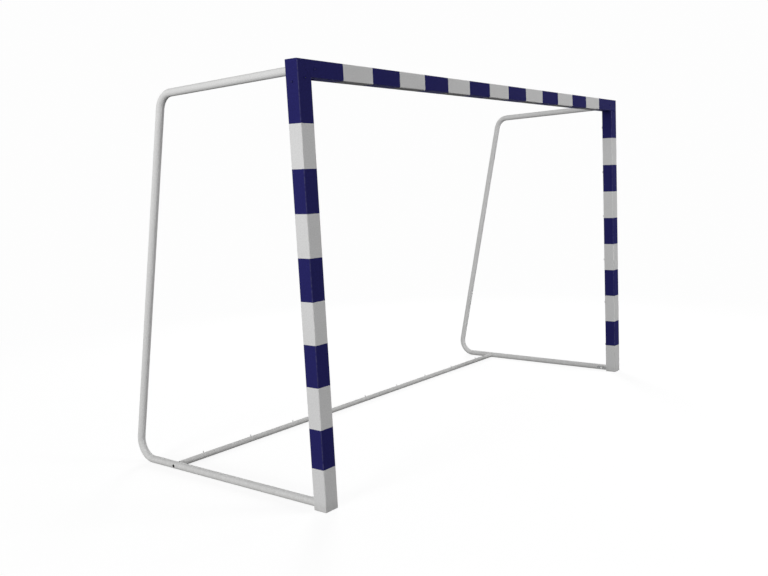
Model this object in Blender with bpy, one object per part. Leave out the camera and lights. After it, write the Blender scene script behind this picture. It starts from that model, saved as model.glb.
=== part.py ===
"""Mini soccer goal: a striped front frame of square tube, two bent side frames and a rear ground bar.

Metres, +Z up. The pieces are laid out with the front faces of the posts at Y = 0 and the goal's
depth along +Y, under one empty that then centres the footprint on the origin.
"""

import math

import bmesh
import bpy
from mathutils import Matrix, Vector

# Goal mouth, between the posts and under the crossbar
MOUTH_WIDTH = 3.000
MOUTH_HEIGHT = 2.000

# Square tube of the posts and the crossbar
PROFILE = 0.080
PROFILE_WALL = 0.003
PROFILE_CORNER = 0.005
SMALLEST_CORNER = 0.0005
CORNER_STEPS = 2

# Painted bands: blue at each corner, then white and blue in turn
CORNER_BAND = 0.280
BAND = 0.200
FOOT_BAND = 0.208

# Clearances: faces that touch, and a bolt in its hole
GAP = 0.0003
BOLT_CLEARANCE = 0.0003

# Plate that closes the foot of each post
FOOT_PLATE = 0.005

# Angle inside each top corner, with one leg in the post and one in the crossbar
ANGLE_WALL = 0.003
ANGLE_LEG = 0.200

# Button-head screws of the top corners, placed from the outer corner of the frame
SCREW_DIAMETER = 0.008
SCREW_LENGTH = 0.016
SCREW_HEAD_DIAMETER = 0.014
SCREW_HEAD_HEIGHT = 0.0044
SCREW_SOCKET = 0.005
SCREW_SOCKET_DEPTH = 0.0026
POST_FRONT_SCREW = 0.082
POST_SIDE_SCREW = 0.099
CROSSBAR_FRONT_SCREW = 0.100
CROSSBAR_UNDER_SCREW = 0.125
WELD_NUT_WIDTH = 0.013
WELD_NUT_HEIGHT = 0.0065

# Side frames: one round tube each, bent twice. Depths are from the front faces of the posts to
# where the straight runs' centre lines meet, and drops are from the top of the crossbar.
TUBE_DIAMETER = 0.040
TUBE_WALL = 0.002
TUBE_BEND_RADIUS = 0.100
TUBE_SIDES = 20
TUBE_BEND_STEPS = 8
TOP_DEPTH = 1.041
BASE_DEPTH = 1.524
TOP_RUN_DROP = 0.044
TOP_RUN_FALL = 0.029

# Lugs on the back of the front frame, one inside each end of a side frame
LUG_LENGTH = 0.086
LUG_HEIGHT = 0.022
LUG_THICKNESS = 0.005
LUG_BOLT_REACH = 0.045
BOLT_DIAMETER = 0.008
BOLT_LENGTH = 0.020
BOLT_HEAD_ACROSS = 0.013
BOLT_HEAD_HEIGHT = 0.0053
WASHER_DIAMETER = 0.016
WASHER_THICKNESS = 0.0016
RIVET_NUT_DIAMETER = 0.011
RIVET_NUT_LENGTH = 0.014

# Rear ground bar between the side frames, its plugs and its socket-head screws
BAR_DIAMETER = 0.032
BAR_WALL = 0.002
BAR_DEPTH = 1.190
BAR_SIDES = 20
PLUG_FLANGE = 0.003
PLUG_LENGTH = 0.025
CAP_SCREW_DIAMETER = 0.008
CAP_SCREW_LENGTH = 0.035
CAP_SCREW_HEAD_DIAMETER = 0.013
CAP_SCREW_HEAD_HEIGHT = 0.008
CAP_SCREW_SOCKET = 0.006
CAP_SCREW_SOCKET_DEPTH = 0.004
CAP_WASHER_DIAMETER = 0.015
CAP_WASHER_THICKNESS = 0.0016
KEY_HOLE_DIAMETER = 0.018

# Net hooks of bent rod, welded in rows to the backs of the posts, the crossbar and the rear bar
HOOK_ROD = 0.006
HOOK_ROOT = 0.001
HOOK_REACH = 0.020
HOOK_RISE = 0.014
HOOK_BEND_RADIUS = 0.007
HOOK_PITCH = 0.335
HOOK_END_SPACE = 0.100
LOWEST_POST_HOOK = 0.200
HOOK_SIDES = 6
HOOK_BEND_STEPS = 3

# Points round a screw, washer or nut, and round the holes for them
FASTENER_SIDES = 12

# Places that follow from the sizes above
POST_X = (MOUTH_WIDTH + PROFILE) / 2
OUTER_X = MOUTH_WIDTH / 2 + PROFILE
CROSSBAR_Z = MOUTH_HEIGHT + PROFILE / 2
TOP_Z = MOUTH_HEIGHT + PROFILE
BORE = PROFILE - 2 * PROFILE_WALL
BORE_CORNER = max(PROFILE_CORNER - PROFILE_WALL, SMALLEST_CORNER)
ANGLE_SIZE = BORE - 2 * GAP
TUBE_RADIUS = TUBE_DIAMETER / 2
TUBE_BORE_RADIUS = TUBE_RADIUS - TUBE_WALL
TUBE_INNER_X = POST_X - TUBE_RADIUS
TOP_RUN_Z = TOP_Z - TOP_RUN_DROP
SIDES = {"left": -1, "right": 1}


def clear_scene():
    for item in list(bpy.data.objects):
        bpy.data.objects.remove(item, do_unlink=True)


def paint(name, colour, roughness, metallic):
    material = bpy.data.materials.new(name)
    material.use_nodes = True
    shader = material.node_tree.nodes["Principled BSDF"]
    shader.inputs["Base Color"].default_value = (*colour, 1.0)
    shader.inputs["Roughness"].default_value = roughness
    shader.inputs["Metallic"].default_value = metallic
    material.diffuse_color = (*colour, 1.0)
    return material


def make_mesh(name, builder, materials, smooth=True):
    """Turns a bmesh into a mesh with its faces pointing out."""
    bmesh.ops.recalc_face_normals(builder, faces=builder.faces)
    mesh = bpy.data.meshes.new(name)
    builder.to_mesh(mesh)
    builder.free()
    for material in materials:
        mesh.materials.append(material)
    if smooth:
        mesh.shade_smooth()
        mesh.set_sharp_from_angle(angle=math.radians(35))
    return mesh


def place(name, mesh, root, location=(0, 0, 0), direction=(0, 0, 1)):
    """Puts a mesh under the root, with its own +Z along the given direction."""
    item = bpy.data.objects.new(name, mesh)
    bpy.context.collection.objects.link(item)
    item.parent = root
    item.location = location
    item.rotation_euler = Vector((0, 0, 1)).rotation_difference(Vector(direction)).to_euler()
    return item


def guide(name, builder, root, materials=()):
    """An object that only shapes others, so it isn't a piece of the goal."""
    item = place(name, make_mesh(name, builder, materials, smooth=False), root)
    item.hide_render = True
    item.display_type = "WIRE"
    return item


def combine(item, tool, operation):
    modifier = item.modifiers.new(tool.name, "BOOLEAN")
    modifier.operation = operation
    modifier.solver = "EXACT"
    modifier.object = tool


def loft(builder, rings, closed=False):
    """Skins a list of equal rings of points. Closed joins the last ring to the first, as a tube
    with a bore needs; otherwise both end rings are filled. Returns the faces band by band."""
    loops = [[builder.verts.new(point) for point in ring] for ring in rings]
    pairs = list(zip(loops, loops[1:]))
    if closed:
        pairs.append((loops[-1], loops[0]))
    bands = []
    for near, far in pairs:
        count = len(near)
        bands.append([
            builder.faces.new((near[i], near[(i + 1) % count], far[(i + 1) % count], far[i]))
            for i in range(count)
        ])
    if not closed:
        builder.faces.new(loops[0][::-1])
        builder.faces.new(loops[-1])
    return bands


def turns(sides):
    return [2 * math.pi * i / sides for i in range(sides)]


def circle(diameter, height, sides=FASTENER_SIDES):
    return [Vector((diameter / 2 * math.cos(a), diameter / 2 * math.sin(a), height)) for a in turns(sides)]


def polygon(across_flats, corners, height):
    """A regular polygon drawn with as many points as the fasteners' round rings."""
    part = 2 * math.pi / corners
    ring = []
    for angle in turns(FASTENER_SIDES):
        radius = across_flats / 2 / math.cos(angle % part - part / 2)
        ring.append(Vector((radius * math.cos(angle), radius * math.sin(angle), height)))
    return ring


def rounded_square(size, corner):
    """Outline of a square tube, anticlockwise, as (x, y) pairs."""
    centre_reach = (size / 2 - corner) * math.sqrt(2)
    outline = []
    for quarter in range(4):
        turn = quarter * math.pi / 2
        centre_x = centre_reach * math.cos(turn + math.pi / 4)
        centre_y = centre_reach * math.sin(turn + math.pi / 4)
        for step in range(CORNER_STEPS + 1):
            angle = turn + step * math.pi / 2 / CORNER_STEPS
            outline.append((centre_x + corner * math.cos(angle), centre_y + corner * math.sin(angle)))
    return outline


def frame_at(point, direction):
    """Matrix with its origin at the point and its +Z along the direction."""
    turn = Vector((0, 0, 1)).rotation_difference(Vector(direction)).to_matrix().to_4x4()
    return Matrix.Translation(point) @ turn


def placed(rings, matrix):
    return [[matrix @ point for point in ring] for ring in rings]


def hole_guide(name, holes, root):
    """Round cutters in one guide, one for each (start, end, diameter)."""
    builder = bmesh.new()
    for start, end, diameter in holes:
        reach = Vector(end) - Vector(start)
        rings = [circle(diameter, 0), circle(diameter, reach.length)]
        loft(builder, placed(rings, frame_at(start, reach)))
    return guide(name, builder, root)


def rounded_path(corners, bend_radius, steps):
    """Points and directions along straight runs joined by arcs of one radius."""
    path = [(corners[0], (corners[1] - corners[0]).normalized())]
    for before, corner, after in zip(corners, corners[1:], corners[2:]):
        arriving = (corner - before).normalized()
        leaving = (after - corner).normalized()
        turn = arriving.angle(leaving)
        start = corner - arriving * bend_radius * math.tan(turn / 2)
        inward = (leaving - arriving * arriving.dot(leaving)).normalized()
        centre = start + inward * bend_radius
        for step in range(steps + 1):
            angle = turn * step / steps
            direction = arriving * math.cos(angle) + inward * math.sin(angle)
            point = centre - inward * bend_radius * math.cos(angle) + arriving * bend_radius * math.sin(angle)
            path.append((point, direction))
    path.append((corners[-1], (corners[-1] - corners[-2]).normalized()))
    return path


def tube_rings(path, radius, sides):
    """Round rings square to a path that lies in a plane of constant X."""
    across = Vector((1, 0, 0))
    rings = []
    for point, direction in path:
        up = across.cross(direction)
        rings.append([point + radius * (math.cos(a) * across + math.sin(a) * up) for a in turns(sides)])
    return rings


def square_tube(name, stations, start_slope, end_slope, colours, first_colour):
    """Square tube along Z, painted in bands between the stations. A slope of 1 or -1 cuts an end
    at 45 degrees, rising or falling with X."""
    outer = rounded_square(PROFILE, PROFILE_CORNER)
    inner = rounded_square(BORE, BORE_CORNER)
    slopes = [start_slope] + [0] * (len(stations) - 2) + [end_slope]
    outer_rings = [[Vector((x, y, z + slope * x)) for x, y in outer] for z, slope in zip(stations, slopes)]
    inner_rings = [
        [Vector((x, y, stations[-1] + end_slope * x)) for x, y in inner],
        [Vector((x, y, stations[0] + start_slope * x)) for x, y in inner],
    ]
    builder = bmesh.new()
    bands = loft(builder, outer_rings + inner_rings, closed=True)
    for index, band in enumerate(bands[:len(stations) - 1]):
        for face in band:
            face.material_index = (index + first_colour) % 2
    return make_mesh(name, builder, colours)


def make_post(side, colours, root):
    """Square tube with its top cut at 45 degrees, its lowest band white and its highest blue."""
    highest_edge = TOP_Z - CORNER_BAND
    bands = round((highest_edge - FOOT_BAND) / BAND)
    stations = [FOOT_PLATE + GAP, FOOT_BAND]
    stations += [highest_edge - BAND * (bands - i) for i in range(1, bands + 1)]
    stations.append(CROSSBAR_Z - GAP * math.sqrt(2))
    first_colour = (len(stations) - 2) % 2
    name = side + "_post"
    mesh = square_tube(name, stations, 0, SIDES[side], colours, first_colour)
    return place(name, mesh, root, (SIDES[side] * POST_X, PROFILE / 2, 0))


def make_crossbar(colours, root):
    half = OUTER_X - CORNER_BAND
    bands = round(2 * half / BAND)
    stations = [-POST_X] + [-half + 2 * half * i / bands for i in range(bands + 1)] + [POST_X]
    mesh = square_tube("crossbar", stations, 1, -1, colours, 0)
    return place("crossbar", mesh, root, (0, PROFILE / 2, CROSSBAR_Z), (1, 0, 0))


def make_foot_plate(side, material, root):
    outline = rounded_square(PROFILE, PROFILE_CORNER)
    builder = bmesh.new()
    loft(builder, [[Vector((x, y, z)) for x, y in outline] for z in (0, FOOT_PLATE)])
    name = side + "_foot_plate"
    place(name, make_mesh(name, builder, [material]), root, (SIDES[side] * POST_X, PROFILE / 2, 0))


def make_corner_angle(side, material, root):
    """Two short square tubes joined at 45 degrees, an easy fit inside the post and the crossbar."""
    sign = SIDES[side]
    leg_end = ANGLE_LEG - PROFILE / 2

    def rings(outline):
        return [
            [Vector((sign * x, y, -leg_end)) for x, y in outline],
            [Vector((sign * x, y, x)) for x, y in outline],
            [Vector((-sign * leg_end, y, x)) for x, y in outline],
        ]

    outer = rounded_square(ANGLE_SIZE, BORE_CORNER)
    inner = rounded_square(ANGLE_SIZE - 2 * ANGLE_WALL, BORE_CORNER / 2)
    builder = bmesh.new()
    loft(builder, rings(outer) + rings(inner)[::-1], closed=True)
    name = side + "_corner_angle"
    mesh = make_mesh(name, builder, [material])
    return place(name, mesh, root, (sign * POST_X, PROFILE / 2, CROSSBAR_Z))


def corner_screw_seats(side):
    """Where each corner screw's head seats, and the way the screw points."""
    sign = SIDES[side]
    return {
        "post_front": ((sign * POST_X, 0, TOP_Z - POST_FRONT_SCREW), (0, 1, 0)),
        "post_side": ((sign * OUTER_X, PROFILE / 2, TOP_Z - POST_SIDE_SCREW), (-sign, 0, 0)),
        "crossbar_front": ((sign * (OUTER_X - CROSSBAR_FRONT_SCREW), 0, CROSSBAR_Z), (0, 1, 0)),
        "crossbar_under": ((sign * (OUTER_X - CROSSBAR_UNDER_SCREW), PROFILE / 2, MOUTH_HEIGHT), (0, 0, 1)),
    }


def corner_screw_mesh(material):
    """Button head with a hexagon socket, its seat at the origin and its shank along +Z."""
    crown = -GAP - SCREW_HEAD_HEIGHT
    shoulder = -GAP - SCREW_HEAD_HEIGHT * 0.55
    rings = [
        polygon(SCREW_SOCKET, 6, crown + SCREW_SOCKET_DEPTH),
        polygon(SCREW_SOCKET, 6, crown),
        circle(SCREW_HEAD_DIAMETER * 0.60, crown),
        circle(SCREW_HEAD_DIAMETER * 0.90, shoulder),
        circle(SCREW_HEAD_DIAMETER, -GAP),
        circle(SCREW_DIAMETER, -GAP),
        circle(SCREW_DIAMETER, SCREW_LENGTH),
    ]
    builder = bmesh.new()
    loft(builder, rings)
    return make_mesh("corner_screw", builder, [material])


def ring_mesh(name, outer_rings, bolt_diameter, material):
    """A washer or nut: two outer rings, and a clearance hole for its bolt between them."""
    hole = bolt_diameter + 2 * BOLT_CLEARANCE
    near = outer_rings[0][0].z
    far = outer_rings[-1][0].z
    builder = bmesh.new()
    loft(builder, outer_rings + [circle(hole, far), circle(hole, near)], closed=True)
    return make_mesh(name, builder, [material])


def weld_nut_mesh(material):
    """Square nut, as far from its screw's seat as the two walls that the screw goes through."""
    near = PROFILE_WALL + GAP + ANGLE_WALL + GAP
    outer_rings = [polygon(WELD_NUT_WIDTH, 4, near), polygon(WELD_NUT_WIDTH, 4, near + WELD_NUT_HEIGHT)]
    return ring_mesh("weld_nut", outer_rings, SCREW_DIAMETER, material)


def corner_holes(side, root):
    depth = PROFILE_WALL + GAP + ANGLE_WALL + GAP + WELD_NUT_HEIGHT
    holes = []
    for seat, direction in corner_screw_seats(side).values():
        start = Vector(seat) - Vector(direction) * PROFILE_WALL
        end = Vector(seat) + Vector(direction) * depth
        holes.append((start, end, SCREW_DIAMETER + 2 * BOLT_CLEARANCE))
    return hole_guide(side + "_corner_holes", holes, root)


def top_run_height(depth):
    """Height of the upper run's centre line at a depth behind the front faces."""
    return TOP_RUN_Z - TOP_RUN_FALL * (depth - PROFILE) / (TOP_DEPTH - PROFILE)


def make_side_frame(side, material, root):
    """One tube from the top of the post back, down the leg and forward to the post's foot."""
    fall = math.atan2(TOP_RUN_FALL, TOP_DEPTH - PROFILE)
    top_start = PROFILE + GAP + TUBE_RADIUS * math.sin(fall)
    corners = [
        Vector((0, top_start, top_run_height(top_start))),
        Vector((0, TOP_DEPTH, top_run_height(TOP_DEPTH))),
        Vector((0, BASE_DEPTH, TUBE_RADIUS)),
        Vector((0, PROFILE + GAP, TUBE_RADIUS)),
    ]
    path = rounded_path(corners, TUBE_BEND_RADIUS, TUBE_BEND_STEPS)
    outer = tube_rings(path, TUBE_RADIUS, TUBE_SIDES)
    inner = tube_rings(path, TUBE_BORE_RADIUS, TUBE_SIDES)
    builder = bmesh.new()
    loft(builder, outer + inner[::-1], closed=True)
    name = side + "_side_frame"
    return place(name, make_mesh(name, builder, [material]), root, (SIDES[side] * POST_X, 0, 0))


def lug_bolt_points(side):
    """The inner tangent point of the tube at each lug's bolt."""
    x = SIDES[side] * TUBE_INNER_X
    depth = PROFILE + LUG_BOLT_REACH
    return {"upper": Vector((x, depth, top_run_height(depth))), "lower": Vector((x, depth, TUBE_RADIUS))}


def side_frame_holes(side, root):
    """Cutters for the rivet nuts, the rear bar's screw and the hole that its key goes through."""
    outward = Vector((SIDES[side], 0, 0))
    holes = []
    for point in lug_bolt_points(side).values():
        start = point - outward * TUBE_WALL
        end = point + outward * TUBE_RADIUS / 2
        holes.append((start, end, RIVET_NUT_DIAMETER + 2 * GAP))
    middle = Vector((SIDES[side] * POST_X, BAR_DEPTH, TUBE_RADIUS))
    near = outward * TUBE_RADIUS / 2
    far = outward * TUBE_DIAMETER
    holes.append((middle - near, middle - far, CAP_SCREW_DIAMETER + 2 * BOLT_CLEARANCE))
    holes.append((middle + near, middle + far, KEY_HOLE_DIAMETER))
    return hole_guide(side + "_side_frame_holes", holes, root)


def lug_mesh(material):
    """Flat plate with its inner face at Z = 0 and its bolt at the origin."""
    front = GAP - LUG_BOLT_REACH
    back = LUG_LENGTH - LUG_BOLT_REACH
    half = LUG_HEIGHT / 2
    outline = [(-half, front), (half, front), (half, back), (-half, back)]
    builder = bmesh.new()
    loft(builder, [[Vector((x, y, z)) for x, y in outline] for z in (0, LUG_THICKNESS)])
    return make_mesh("lug", builder, [material], smooth=False)


def lug_bolt_mesh(material):
    """Hexagon-head bolt over its washer, with the lug's inner face at Z = 0."""
    seat = -GAP - WASHER_THICKNESS - GAP
    rings = [
        polygon(BOLT_HEAD_ACROSS, 6, seat - BOLT_HEAD_HEIGHT),
        polygon(BOLT_HEAD_ACROSS, 6, seat),
        circle(BOLT_DIAMETER, seat),
        circle(BOLT_DIAMETER, seat + BOLT_LENGTH),
    ]
    builder = bmesh.new()
    loft(builder, rings)
    return make_mesh("lug_bolt", builder, [material])


def make_lugs(side, frame, dull_zinc, zinc, root):
    """The lugs of one side frame, each with its bolt, washer and rivet nut."""
    lug = lug_mesh(dull_zinc)
    bolt = lug_bolt_mesh(zinc)
    washer_rings = [circle(WASHER_DIAMETER, -GAP - WASHER_THICKNESS), circle(WASHER_DIAMETER, -GAP)]
    washer = ring_mesh("lug_washer", washer_rings, BOLT_DIAMETER, zinc)
    near = LUG_THICKNESS + GAP
    nut_rings = [circle(RIVET_NUT_DIAMETER, near), circle(RIVET_NUT_DIAMETER, near + RIVET_NUT_LENGTH)]
    nut = ring_mesh("rivet_nut", nut_rings, BOLT_DIAMETER, zinc)

    outward = Vector((SIDES[side], 0, 0))
    lug_holes = []
    lugs = []
    for level, point in lug_bolt_points(side).items():
        origin = point - outward * (GAP + LUG_THICKNESS)
        start = origin - outward * LUG_THICKNESS
        lug_holes.append((start, point - outward * GAP / 2, BOLT_DIAMETER + 2 * BOLT_CLEARANCE))
        prefix = side + "_" + level + "_"
        lugs.append(place(prefix + "lug", lug, root, origin, outward))
        place(prefix + "lug_bolt", bolt, root, origin, outward)
        place(prefix + "lug_washer", washer, root, origin, outward)
        place(prefix + "rivet_nut", nut, root, origin, outward)
    holes = hole_guide(side + "_lug_holes", lug_holes, root)
    for item in lugs:
        combine(item, holes, "DIFFERENCE")
    combine(frame, side_frame_holes(side, root), "DIFFERENCE")


def make_ground_bar(material, root):
    half = TUBE_INNER_X - GAP - PLUG_FLANGE - GAP
    bore = BAR_DIAMETER - 2 * BAR_WALL
    rings = [
        circle(BAR_DIAMETER, -half, BAR_SIDES),
        circle(BAR_DIAMETER, half, BAR_SIDES),
        circle(bore, half, BAR_SIDES),
        circle(bore, -half, BAR_SIDES),
    ]
    builder = bmesh.new()
    loft(builder, rings, closed=True)
    mesh = make_mesh("rear_ground_bar", builder, [material])
    return place("rear_ground_bar", mesh, root, (0, BAR_DEPTH, TUBE_RADIUS), (1, 0, 0))


def bar_plug_mesh(material):
    """Threaded plug with a flange, its end face against the side frame's tube at Z = 0."""
    flange_back = -GAP - PLUG_FLANGE
    inner_end = flange_back - PLUG_LENGTH
    bore = BAR_DIAMETER - 2 * BAR_WALL
    spigot = bore * math.cos(math.pi / BAR_SIDES) - 2 * GAP
    hole = CAP_SCREW_DIAMETER + 2 * BOLT_CLEARANCE
    rings = [
        circle(BAR_DIAMETER, -GAP, BAR_SIDES),
        circle(BAR_DIAMETER, flange_back, BAR_SIDES),
        circle(spigot, flange_back, BAR_SIDES),
        circle(spigot, inner_end, BAR_SIDES),
        circle(hole, inner_end, BAR_SIDES),
        circle(hole, -GAP, BAR_SIDES),
    ]
    builder = bmesh.new()
    loft(builder, rings, closed=True)
    return make_mesh("bar_plug", builder, [material])


def cap_washer_seat():
    """How far past the tube's inner tangent a flat washer clears the curved bore."""
    bore_radius = TUBE_BORE_RADIUS * math.cos(math.pi / TUBE_SIDES)
    washer_radius = CAP_WASHER_DIAMETER / 2
    return TUBE_RADIUS - math.sqrt(bore_radius ** 2 - washer_radius ** 2) + GAP


def cap_screw_mesh(material):
    """Socket-head screw inside the side frame's tube, its shank reaching back into the plug."""
    seat = cap_washer_seat() + CAP_WASHER_THICKNESS + GAP
    top = seat + CAP_SCREW_HEAD_HEIGHT
    rings = [
        circle(CAP_SCREW_DIAMETER, seat - CAP_SCREW_LENGTH),
        circle(CAP_SCREW_DIAMETER, seat),
        circle(CAP_SCREW_HEAD_DIAMETER, seat),
        circle(CAP_SCREW_HEAD_DIAMETER, top),
        polygon(CAP_SCREW_SOCKET, 6, top),
        polygon(CAP_SCREW_SOCKET, 6, top - CAP_SCREW_SOCKET_DEPTH),
    ]
    builder = bmesh.new()
    loft(builder, rings)
    return make_mesh("cap_screw", builder, [material])


def make_bar_ends(zinc, black, root):
    plug = bar_plug_mesh(zinc)
    screw = cap_screw_mesh(black)
    near = cap_washer_seat()
    far = near + CAP_WASHER_THICKNESS
    washer_rings = [circle(CAP_WASHER_DIAMETER, near), circle(CAP_WASHER_DIAMETER, far)]
    washer = ring_mesh("cap_washer", washer_rings, CAP_SCREW_DIAMETER, black)
    for side, sign in SIDES.items():
        origin = (sign * TUBE_INNER_X, BAR_DEPTH, TUBE_RADIUS)
        direction = (sign, 0, 0)
        place(side + "_bar_plug", plug, root, origin, direction)
        place(side + "_bar_screw", screw, root, origin, direction)
        place(side + "_bar_washer", washer, root, origin, direction)


def weld_hooks(item, roots, material, root):
    """Welds a net hook to a piece at each root: a rod that comes straight back and turns up."""
    builder = bmesh.new()
    for point in roots:
        start = Vector(point) - Vector((0, HOOK_ROOT, 0))
        corner = Vector(point) + Vector((0, HOOK_REACH, 0))
        tip = corner + Vector((0, 0, HOOK_RISE))
        path = rounded_path([start, corner, tip], HOOK_BEND_RADIUS, HOOK_BEND_STEPS)
        loft(builder, tube_rings(path, HOOK_ROD / 2, HOOK_SIDES))
    slots = list(item.data.materials)
    for face in builder.faces:
        face.material_index = slots.index(material)
    combine(item, guide(item.name + "_hooks", builder, root, slots), "UNION")


def hook_columns():
    """Places of the hooks along the crossbar and the rear bar, either side of the middle."""
    each_side = int((MOUTH_WIDTH / 2 - HOOK_END_SPACE) / HOOK_PITCH)
    return [HOOK_PITCH * i for i in range(-each_side, each_side + 1)]


def post_hook_heights():
    highest = TOP_RUN_Z - TUBE_RADIUS - HOOK_END_SPACE
    count = int((highest - LOWEST_POST_HOOK) / HOOK_PITCH) + 1
    return [LOWEST_POST_HOOK + HOOK_PITCH * i for i in range(count)]


def centre_footprint(root):
    """Moves the goal so that the middle of its footprint is over the origin."""
    bpy.context.view_layer.update()
    graph = bpy.context.evaluated_depsgraph_get()
    depths = []
    for item in root.children:
        if not item.hide_render:
            shape = item.evaluated_get(graph)
            depths += [(shape.matrix_world @ vertex.co).y for vertex in shape.data.vertices]
    root.location.y = -(min(depths) + max(depths)) / 2


def build():
    clear_scene()
    blue = paint("blue paint", (0.020, 0.018, 0.120), 0.45, 0.0)
    white = paint("white paint", (0.640, 0.640, 0.640), 0.45, 0.0)
    tube_paint = paint("white tube paint", (0.680, 0.680, 0.680), 0.40, 0.0)
    zinc = paint("zinc plate", (0.560, 0.560, 0.550), 0.35, 1.0)
    dull_zinc = paint("dull zinc plate", (0.300, 0.300, 0.300), 0.55, 1.0)
    steel = paint("bare steel", (0.350, 0.350, 0.360), 0.50, 1.0)
    black = paint("black oxide", (0.050, 0.050, 0.052), 0.50, 1.0)

    root = bpy.data.objects.new("goal", None)
    bpy.context.collection.objects.link(root)

    screw = corner_screw_mesh(blue)
    nut = weld_nut_mesh(steel)
    crossbar = make_crossbar([blue, white], root)
    for side, sign in SIDES.items():
        post = make_post(side, [blue, white], root)
        angle = make_corner_angle(side, steel, root)
        make_foot_plate(side, white, root)
        for name, (seat, direction) in corner_screw_seats(side).items():
            place(side + "_" + name + "_screw", screw, root, seat, direction)
            place(side + "_" + name + "_nut", nut, root, seat, direction)
        holes = corner_holes(side, root)
        for item in (post, crossbar, angle):
            combine(item, holes, "DIFFERENCE")
        weld_hooks(post, [(sign * POST_X, PROFILE, z) for z in post_hook_heights()], white, root)
        frame = make_side_frame(side, tube_paint, root)
        make_lugs(side, frame, dull_zinc, zinc, root)
    weld_hooks(crossbar, [(x, PROFILE, CROSSBAR_Z) for x in hook_columns()], white, root)

    ground_bar = make_ground_bar(tube_paint, root)
    bar_back = BAR_DEPTH + BAR_DIAMETER / 2
    weld_hooks(ground_bar, [(x, bar_back, TUBE_RADIUS) for x in hook_columns()], tube_paint, root)
    make_bar_ends(zinc, black, root)
    centre_footprint(root)


build()
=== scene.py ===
"""A mini soccer goal as it is finished: coated square and round tube, zinc-plated fixings and welds.

Metres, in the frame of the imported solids. Left and right are as seen from in front of the goal.
"""

import math

import bmesh
import bpy
from mathutils import Matrix, Vector


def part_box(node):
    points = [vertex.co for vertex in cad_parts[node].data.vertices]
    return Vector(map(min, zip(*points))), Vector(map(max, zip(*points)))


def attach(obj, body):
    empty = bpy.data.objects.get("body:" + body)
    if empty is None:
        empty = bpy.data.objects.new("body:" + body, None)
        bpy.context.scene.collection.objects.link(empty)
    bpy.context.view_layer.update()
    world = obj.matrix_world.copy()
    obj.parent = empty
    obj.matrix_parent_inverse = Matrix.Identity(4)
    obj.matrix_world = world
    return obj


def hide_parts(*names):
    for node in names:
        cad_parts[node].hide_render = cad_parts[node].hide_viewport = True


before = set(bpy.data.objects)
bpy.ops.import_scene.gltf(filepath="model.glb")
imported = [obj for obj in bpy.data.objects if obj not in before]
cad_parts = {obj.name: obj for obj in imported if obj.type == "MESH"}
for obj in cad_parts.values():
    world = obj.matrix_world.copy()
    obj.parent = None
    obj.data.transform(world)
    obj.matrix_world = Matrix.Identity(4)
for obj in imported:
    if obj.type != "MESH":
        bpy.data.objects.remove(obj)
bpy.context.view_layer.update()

# Sizes read from the frame
FOOT_LOW, FOOT_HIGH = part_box("right_foot_plate")
CROSSBAR_LOW, CROSSBAR_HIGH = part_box("crossbar")
SIDE_LOW, SIDE_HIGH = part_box("right_side_frame")
PLUG_LOW, PLUG_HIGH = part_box("right_bar_plug")
PROFILE = FOOT_HIGH.x - FOOT_LOW.x
FOOT_THICKNESS = FOOT_HIGH.z
FRONT_Y = FOOT_LOW.y
BACK_Y = FOOT_HIGH.y
TOP_Z = CROSSBAR_HIGH.z
CROSSBAR_Z = TOP_Z - PROFILE / 2
OUTER_X = CROSSBAR_HIGH.x
POST_X = OUTER_X - PROFILE / 2
TUBE_DIAMETER = SIDE_HIGH.x - SIDE_LOW.x
TUBE_RADIUS = TUBE_DIAMETER / 2
BAR_DIAMETER = PLUG_HIGH.z - PLUG_LOW.z
BAR_Y = (PLUG_LOW.y + PLUG_HIGH.y) / 2
BAR_Z = (PLUG_LOW.z + PLUG_HIGH.z) / 2

# Clearance between pieces that touch, the gap in a mitre, and the small chamfer on a sawn edge
GAP = 0.0003
MITRE_GAP = 0.00005
SAWN_EDGE = 0.0004

# Square tube
PROFILE_WALL = 0.003
PROFILE_CORNER = 0.005
CORNER_STEPS = 6

# Painted bands: blue at the frame's outer corner, then white and blue in turn, and white at the foot
CORNER_BAND = 0.280
BAND = 0.200
FOOT_BAND = 0.208

# Side frames: their axes' corners behind the front faces, and the top run's drop and fall
TUBE_WALL = 0.002
TUBE_BEND_RADIUS = 0.100
TUBE_SIDES = 48
TUBE_BEND_STEPS = 24
BEND_FLATTENING = 0.02
TOP_DEPTH = 1.041
BASE_DEPTH = 1.524
TOP_RUN_DROP = 0.044
TOP_RUN_FALL = 0.029
KEY_HOLE = 0.018
RIVET_NUT_HOLE = 0.0116
SCREW_HOLE = 0.0086

# Rear bar and its plugs
BAR_WALL = 0.002
BAR_SIDES = 48
PLUG_FLANGE = 0.003
PLUG_LENGTH = 0.025

# Net hooks
HOOK_ROD = 0.006
HOOK_ROOT = 0.001
HOOK_REACH = 0.020
HOOK_RISE = 0.014
HOOK_BEND_RADIUS = 0.007
HOOK_PITCH = 0.335
HOOKS_EACH_SIDE = 4
POST_HOOKS = 6
LOWEST_POST_HOOK = 0.200
HOOK_SIDES = 20
HOOK_BEND_STEPS = 10
HOOK_TIP_STEPS = 5
HOOK_WELD_STEPS = 32
HOOK_WELD_PROUD = 0.0002

# The dome of a hook's tip and the ring of weld at its root, as shares of the rod's radius
HOOK_TIP_DOME = 0.5
HOOK_WELD_REACH = 1.2
HOOK_WELD_SIZE = 0.5

# Sides of a turned piece and of a drilled hole
ROUND = 48
HOLE_SIDES = 32

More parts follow.
